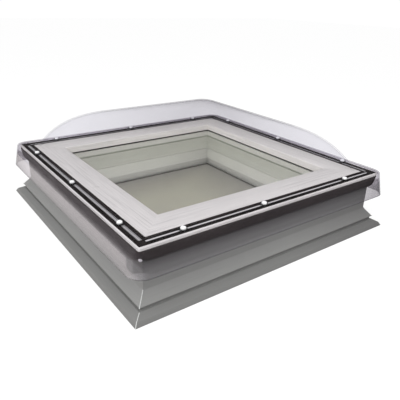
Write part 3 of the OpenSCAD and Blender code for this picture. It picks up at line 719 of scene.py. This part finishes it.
bm = bmesh.new()
bmesh.ops.create_grid(bm, x_segments=2, y_segments=2, size=12.0)
me = bpy.data.meshes.new("floor")
bm.to_mesh(me); bm.free()
floor = bpy.data.objects.new("floor", me)
floor.location = (0, 0, -0.0002)
scene.collection.objects.link(floor)
fm = Mat("floor_pale")
lp = fm.n("ShaderNodeLightPath")
seen = fm.n("ShaderNodeEmission")
seen.inputs["Color"].default_value = (1, 1, 1, 1)
seen.inputs["Strength"].default_value = 0.84
pale = fm.n("ShaderNodeBsdfDiffuse")
fm.link(fm.ramp(fm.noise(0.8, 2.0), [(0.3, (0.44, 0.44, 0.44)), (0.7, (0.46, 0.46, 0.46))]), pale.inputs["Color"])
faint = fm.n("ShaderNodeBsdfDiffuse")
faint.inputs["Color"].default_value = (0.20, 0.20, 0.20, 1)
# the pale sweep on the left, as polished faces mirror it
fsep = fm.n("ShaderNodeSeparateXYZ")
fm.link(fm.obj(), fsep.inputs[0])
sweep = fm.n("ShaderNodeEmission")
fm.link(fm.ramp(fm.maprange(fsep.outputs["X"], 0.0, 1.0, -0.8, -0.3),
                [(0.0, (0.32, 0.31, 0.31)), (0.25, (0.26, 0.25, 0.25)), (0.37, (1.0, 0.935, 0.92)), (0.60, (1.0, 0.935, 0.92)),
                 (0.80, (0.0, 0.0, 0.0))]), sweep.inputs["Color"])
sweep.inputs["Strength"].default_value = 1.0
mirrored = fm.n("ShaderNodeAddShader")
sfade = fm.n("ShaderNodeMixShader")
fm.link(fm.maprange(fsep.outputs["Y"], 0.0, 1.0, -0.50, -0.34), sfade.inputs[0])
fm.link(sweep.outputs[0], sfade.inputs[2])
fm.link(sfade.outputs[0], mirrored.inputs[0])
fm.link(faint.outputs[0], mirrored.inputs[1])
other = fm.n("ShaderNodeMixShader")
fm.link(lp.outputs["Is Glossy Ray"], other.inputs[0])
fm.link(pale.outputs[0], other.inputs[1])
fm.link(mirrored.outputs[0], other.inputs[2])
both = fm.n("ShaderNodeAddShader")
fm.link(seen.outputs[0], both.inputs[0])
fm.link(faint.outputs[0], both.inputs[1])
pick = fm.n("ShaderNodeMixShader")
fm.link(lp.outputs["Is Camera Ray"], pick.inputs[0])
fm.link(other.outputs[0], pick.inputs[1])
fm.link(both.outputs[0], pick.inputs[2])
fm.link(pick.outputs[0], fm.out.inputs["Surface"])
me.materials.append(fm.m)

# the dim ceiling opening below the light well
bm = bmesh.new()
bmesh.ops.create_grid(bm, x_segments=1, y_segments=1, size=0.3085)
me = bpy.data.meshes.new("floor_below")
bm.to_mesh(me); bm.free()
below = bpy.data.objects.new("floor_below", me)
below.location = (0, 0, 0.0004)
scene.collection.objects.link(below)
wm = Mat("floor_below_grey")
wsep = wm.n("ShaderNodeSeparateXYZ")
wm.link(wm.obj(), wsep.inputs[0])
# painted shadow: darker towards the back walls
deep = wm.math("MAXIMUM", wm.maprange(wsep.outputs["X"], 0.0, 1.0, 0.07, 0.31), wm.maprange(wsep.outputs["Y"], 0.0, 1.0, 0.12, 0.31))
wc = wm.ramp(wm.noise(2.2, 2.0), [(0.3, (0.54, 0.525, 0.445)), (0.7, (0.57, 0.555, 0.475))])
wall = wm.math("MAXIMUM", wm.math("ABSOLUTE", wsep.outputs["X"]), wm.math("ABSOLUTE", wsep.outputs["Y"]))
wbase = wm.mix(deep, wc, (0.37, 0.355, 0.345))
wbase = wm.mix(wm.maprange(wall, 0.0, 1.0, 0.296, 0.303), wbase, (0.10, 0.095, 0.09))      # painted shade in the crease at the foot of the walls
wm.principled(Base_Color=wbase, Roughness=0.9, Specular_IOR_Level=0.1)
me.materials.append(wm.m)

# a soft studio: bright overhead and on the left, dimmer at the front; plain white behind
world = bpy.data.worlds.new("studio")
scene.world = world
world.use_nodes = True
wt = world.node_tree
wt.nodes.clear()


def wn(kind, **props):
    node = wt.nodes.new(kind)
    for k, v in props.items():
        setattr(node, k, v)
    return node


def wmath(op, a, b):
    x = wn("ShaderNodeMath", operation=op)
    for i, v in enumerate((a, b)):
        if isinstance(v, (int, float)):
            x.inputs[i].default_value = float(v)
        else:
            wt.links.new(v, x.inputs[i])
    return x.outputs[0]


tc = wn("ShaderNodeTexCoord")
sep = wn("ShaderNodeSeparateXYZ")
wt.links.new(tc.outputs["Generated"], sep.inputs[0])
up = wmath("MULTIPLY", wmath("MAXIMUM", sep.outputs["Z"], 0.0), 0.46)
left = wmath("MULTIPLY", wmath("MAXIMUM", wmath("MULTIPLY", sep.outputs["X"], -1.0), 0.0), 1.10)
front = wmath("MULTIPLY", wmath("MAXIMUM", wmath("MULTIPLY", sep.outputs["Y"], -1.0), 0.0), 0.45)
level = wmath("ADD", wmath("ADD", wmath("ADD", up, left), front), 0.10)
wlp = wn("ShaderNodeLightPath")
lit = wn("ShaderNodeBackground")
lit.inputs["Color"].default_value = (1, 1, 1, 1)
wt.links.new(level, lit.inputs["Strength"])
white = wn("ShaderNodeBackground")
white.inputs["Color"].default_value = (1, 1, 1, 1)
white.inputs["Strength"].default_value = 1.02
wmix = wn("ShaderNodeMixShader")
wt.links.new(wlp.outputs["Is Camera Ray"], wmix.inputs[0])
wt.links.new(lit.outputs[0], wmix.inputs[1])
wt.links.new(white.outputs[0], wmix.inputs[2])
wout = wn("ShaderNodeOutputWorld")
wt.links.new(wmix.outputs[0], wout.inputs["Surface"])


def area(name, loc, target, size, energy, colour=(1, 1, 1)):
    l = bpy.data.lights.new(name, "AREA")
    l.shape = "RECTANGLE"
    l.size, l.size_y = size
    l.energy = energy
    l.color = colour
    o = bpy.data.objects.new(name, l)
    o.location = loc
    o.rotation_euler = (Vector(target) - Vector(loc)).to_track_quat("-Z", "Y").to_euler()
    scene.collection.objects.link(o)
    o.visible_glossy = False
    return o


glow = area("well_glow", (0, 0, 0.003), (0, 0.0001, 1.0), (0.606, 0.606), 0.46)   # daylight bounced back up the well
glow.visible_camera = False
area("top_soft", (-0.9, -1.5, 2.6), (0, 0, 0.1), (1.8, 1.8), 42)

cam_data = bpy.data.cameras.new("camera")
cam_data.sensor_width = 36.0
cam_data.lens = 40.2
cam_data.clip_start = 0.05
cam_data.clip_end = 60
cam = bpy.data.objects.new("camera", cam_data)
scene.collection.objects.link(cam)
axis_angle = Vector((1.92969, -0.60631, 0.43025))
R = Matrix.Rotation(axis_angle.length, 3, axis_angle.normalized())      # row frame to view: right, down, forward
cam.matrix_world = Matrix((
    (R[0][0], -R[1][0], -R[2][0], -1.77721 * B * MM),
    (R[0][1], -R[1][1], -R[2][1], -2.52829 * B * MM),
    (R[0][2], -R[1][2], -R[2][2], 1.46177 * B * MM),
    (0, 0, 0, 1)))
scene.camera = cam
scene.view_settings.view_transform = "Standard"
scene.view_settings.look = "None"
scene.view_settings.exposure = 0.0
scene.cycles.transparent_max_bounces = 24
